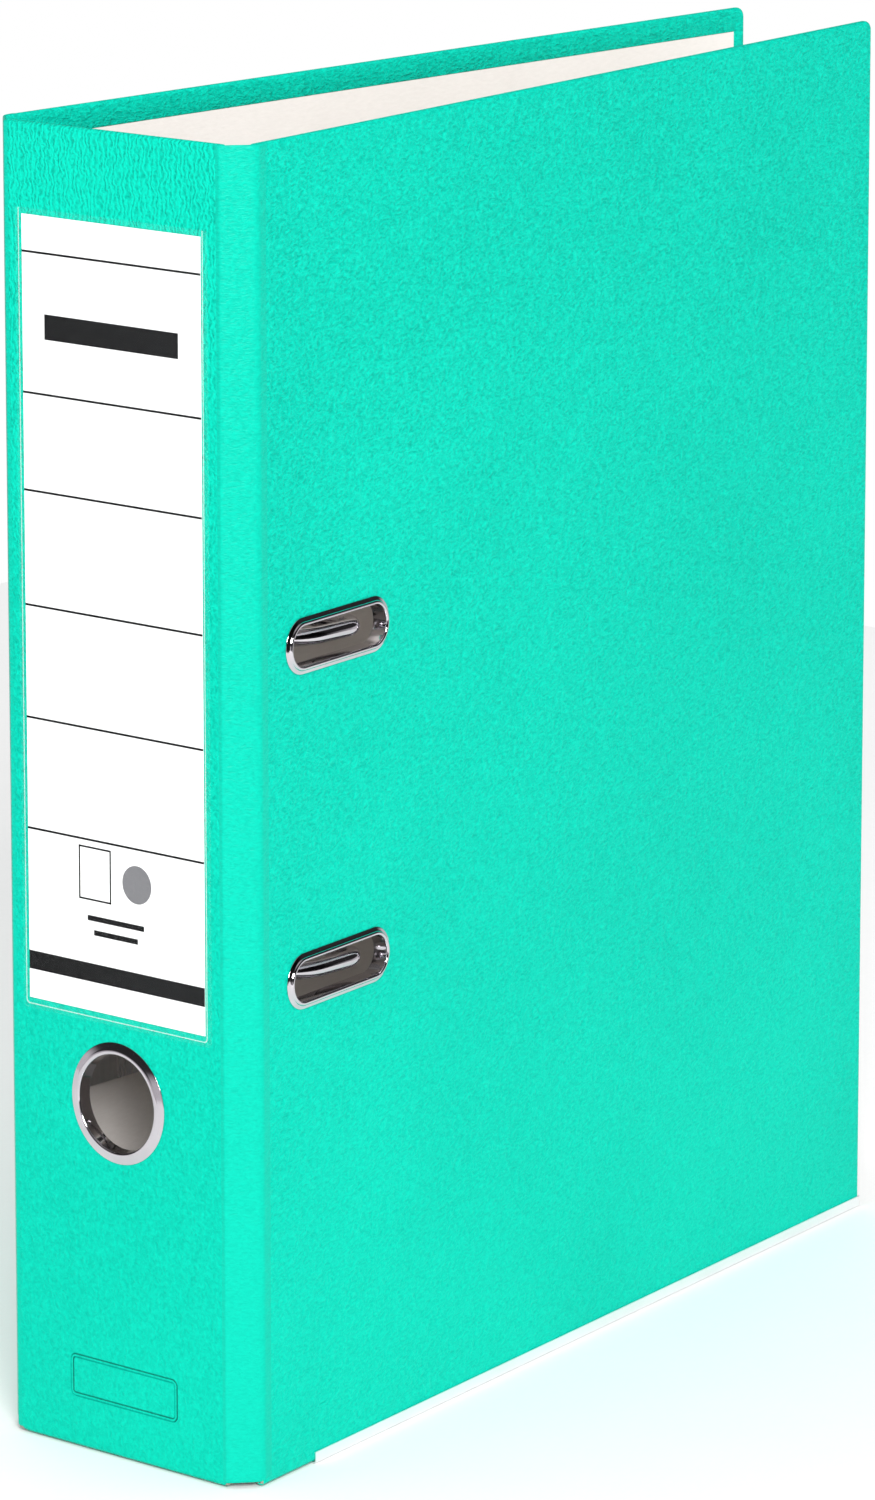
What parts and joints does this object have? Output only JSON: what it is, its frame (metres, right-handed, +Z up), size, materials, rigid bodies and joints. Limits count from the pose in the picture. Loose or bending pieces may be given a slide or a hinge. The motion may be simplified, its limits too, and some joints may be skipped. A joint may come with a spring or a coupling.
{
  "type": "lever arch file",
  "caption": "Upright lever arch file: board covers hinged to a labelled spine with a finger ring, slotted front cover, and a lever mechanism with arches and posts inside.",
  "frame": {"origin": "middle of the bounding box's bottom, on the surface the closed file stands on", "axes": "+Z up along the spine, -Y out of the spine's label face, +X out of the front cover"},
  "size_m": [0.08, 0.2858, 0.318],
  "materials": {
    "covering": "embossed paper-backed plastic foil, satin",
    "board": "grey board",
    "lining": "white paper lining",
    "chrome": "nickel plated, polished",
    "steel": "zinc plated sheet",
    "grip": "moulded black plastic",
    "roller_plastic": "moulded natural plastic",
    "card": "white card",
    "clear": "clear film"
  },
  "bodies": {
    "back_cover": {"back_board": "board", "back_covering": "covering", "back_lining": "lining", "back_edge_rail": "chrome", "base_plate": "steel", "post_upper": "chrome", "post_lower": "chrome", "base_rivet_1": "chrome", "base_rivet_2": "chrome", "base_rivet_3": "chrome", "base_rivet_4": "chrome", "lever_pin": "steel", "arch_spring": "steel"},
    "spine": {"spine_board": "board", "spine_covering": "covering", "spine_lining": "lining", "finger_ring": "chrome", "label_pocket": "clear", "label_card": "card", "front_hinge_strip": "covering", "back_hinge_strip": "covering"},
    "front_cover": {"front_board": "board", "front_covering": "covering", "front_lining": "lining", "front_edge_rail": "chrome", "slot_eyelet_upper": "chrome", "slot_eyelet_lower": "chrome"},
    "arch": {"arch_wire": "chrome"},
    "lever": {"lever_arm": "steel", "lever_grip": "grip", "roller_pin": "steel"},
    "roller": {"roller": "roller_plastic"},
    "compressor": {"compressor_bar": "steel"}
  },
  "joints": [
    {"name": "spine_hinge", "type": "hinge", "parent": "back_cover", "child": "spine", "pos_m": [-0.0365, -0.13895, 0.159], "axis": [0, 0, -1], "range_deg": [0, 90]},
    {"name": "front_cover_hinge", "type": "hinge", "parent": "spine", "child": "front_cover", "pos_m": [0.0373, -0.13895, 0.159], "axis": [0, 0, -1], "range_deg": [0, 140]},
    {"name": "lever_lift", "type": "hinge", "parent": "back_cover", "child": "lever", "pos_m": [-0.0226, -0.09155, 0.159], "axis": [0, 0, 1], "range_deg": [0, 95]},
    {"name": "arch_swing", "type": "hinge", "parent": "back_cover", "child": "arch", "pos_m": [-0.0326, -0.10755, 0.159], "axis": [0, 0, -1], "range_deg": [0, 18.1]},
    {"name": "roller_spin", "type": "hinge", "parent": "lever", "child": "roller", "pos_m": [-0.0276, -0.09755, 0.159], "axis": [0, 0, 1], "continuous": true},
    {"name": "compressor_slide", "type": "slide", "parent": "back_cover", "child": "compressor", "axis": [1, 0, 0], "range_m": [0, 0.04]}
  ],
  "couplings": [
    {"joint": "arch_swing", "follows": "lever_lift", "ratio": 0.18947}
  ]
}
